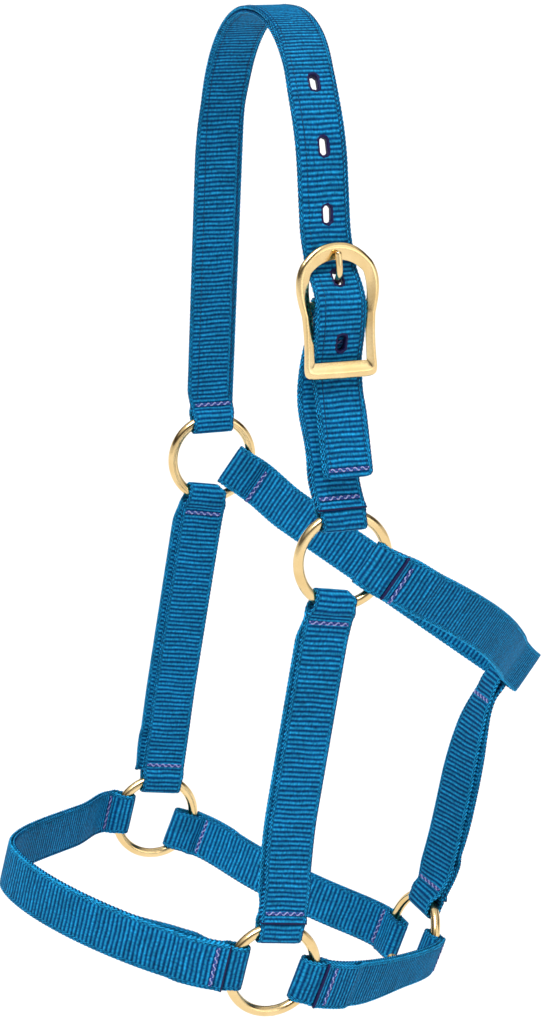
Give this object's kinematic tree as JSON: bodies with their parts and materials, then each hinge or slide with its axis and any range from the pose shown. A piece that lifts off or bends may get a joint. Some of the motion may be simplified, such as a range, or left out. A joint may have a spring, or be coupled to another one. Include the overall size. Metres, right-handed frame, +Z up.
{
  "type": "head halter",
  "caption": "Flat webbing head halter: buckled crown strap, cheek straps, noseband, chin straps and throatlatch joined by metal rings.",
  "frame": {"origin": "middle of the underside of the crown strap, where it rests on the poll", "axes": "+Z up, -X towards the nose, +X towards the throat, -Y the left (buckle) side of the animal"},
  "size_m": [0.3237, 0.2341, 0.5675],
  "materials": {
    "webbing": "ribbed woven nylon webbing, matt with a slight sheen on the ribs",
    "brass": "polished pale brass plate",
    "thread": "twisted polyester sewing thread, slightly glossy"
  },
  "bodies": {
    "headstall": {"crown_strap": "webbing", "crown_ring_stitching": "thread", "crown_tip_stitching": "thread", "billet_strap": "webbing", "billet_ring_stitching": "thread", "billet_buckle_stitching": "thread"},
    "buckle_frame": {"buckle_frame": "brass"},
    "buckle_tongue": {"buckle_tongue": "brass"},
    "near_upper_ring": {"near_upper_ring": "brass"},
    "far_upper_ring": {"far_upper_ring": "brass"},
    "lower_halter": {"near_cheek_strap": "webbing", "near_cheek_lower_stitching": "thread", "near_cheek_upper_stitching": "thread", "far_cheek_strap": "webbing", "far_cheek_lower_stitching": "thread", "far_cheek_upper_stitching": "thread", "near_chin_strap": "webbing", "near_chin_side_stitching": "thread", "near_chin_ring_stitching": "thread", "far_chin_strap": "webbing", "far_chin_side_stitching": "thread", "far_chin_ring_stitching": "thread", "throatlatch": "webbing", "throatlatch_near_stitching": "thread", "throatlatch_far_stitching": "thread", "connector_strap": "webbing", "connector_chin_stitching": "thread", "connector_throat_stitching": "thread"},
    "near_lower_ring": {"near_lower_ring": "brass"},
    "far_lower_ring": {"far_lower_ring": "brass"},
    "noseband": {"noseband": "webbing", "noseband_near_stitching": "thread", "noseband_far_stitching": "thread"},
    "chin_ring": {"chin_ring": "brass"}
  },
  "joints": [
    {"name": "near_upper_ring_spin", "type": "hinge", "parent": "headstall", "child": "near_upper_ring", "pos_m": [0, -0.10975, -0.26595], "axis": [0, 1, 0], "continuous": true},
    {"name": "far_upper_ring_spin", "type": "hinge", "parent": "headstall", "child": "far_upper_ring", "pos_m": [0, 0.10975, -0.26595], "axis": [0, 1, 0], "continuous": true},
    {"name": "buckle_rock", "type": "hinge", "parent": "headstall", "child": "buckle_frame", "pos_m": [0, -0.09926, -0.13564], "axis": [1, 0, 0], "range_deg": [-1.5, 1.5]},
    {"name": "tongue_lift", "type": "hinge", "parent": "buckle_frame", "child": "buckle_tongue", "pos_m": [0, -0.09926, -0.13564], "axis": [1, 0, 0], "range_deg": [0, 6.5]},
    {"name": "cheek_swing", "type": "hinge", "parent": "headstall", "child": "lower_halter", "pos_m": [0, 0, -0.26595], "axis": [0, 1, 0], "range_deg": [-30, 30]},
    {"name": "near_lower_ring_spin", "type": "hinge", "parent": "lower_halter", "child": "near_lower_ring", "pos_m": [-0.0381, -0.10975, -0.48885], "axis": [0, 1, 0], "continuous": true},
    {"name": "far_lower_ring_spin", "type": "hinge", "parent": "lower_halter", "child": "far_lower_ring", "pos_m": [-0.0381, 0.10975, -0.48885], "axis": [0, 1, 0], "continuous": true},
    {"name": "noseband_drop", "type": "hinge", "parent": "lower_halter", "child": "noseband", "pos_m": [-0.0381, 0, -0.48885], "axis": [0, -1, 0], "range_deg": [-4, 60]},
    {"name": "chin_ring_spin", "type": "hinge", "parent": "lower_halter", "child": "chin_ring", "pos_m": [0.0875, 0, -0.53795], "axis": [0.9291, 0.0698, -0.3632], "continuous": true}
  ]
}
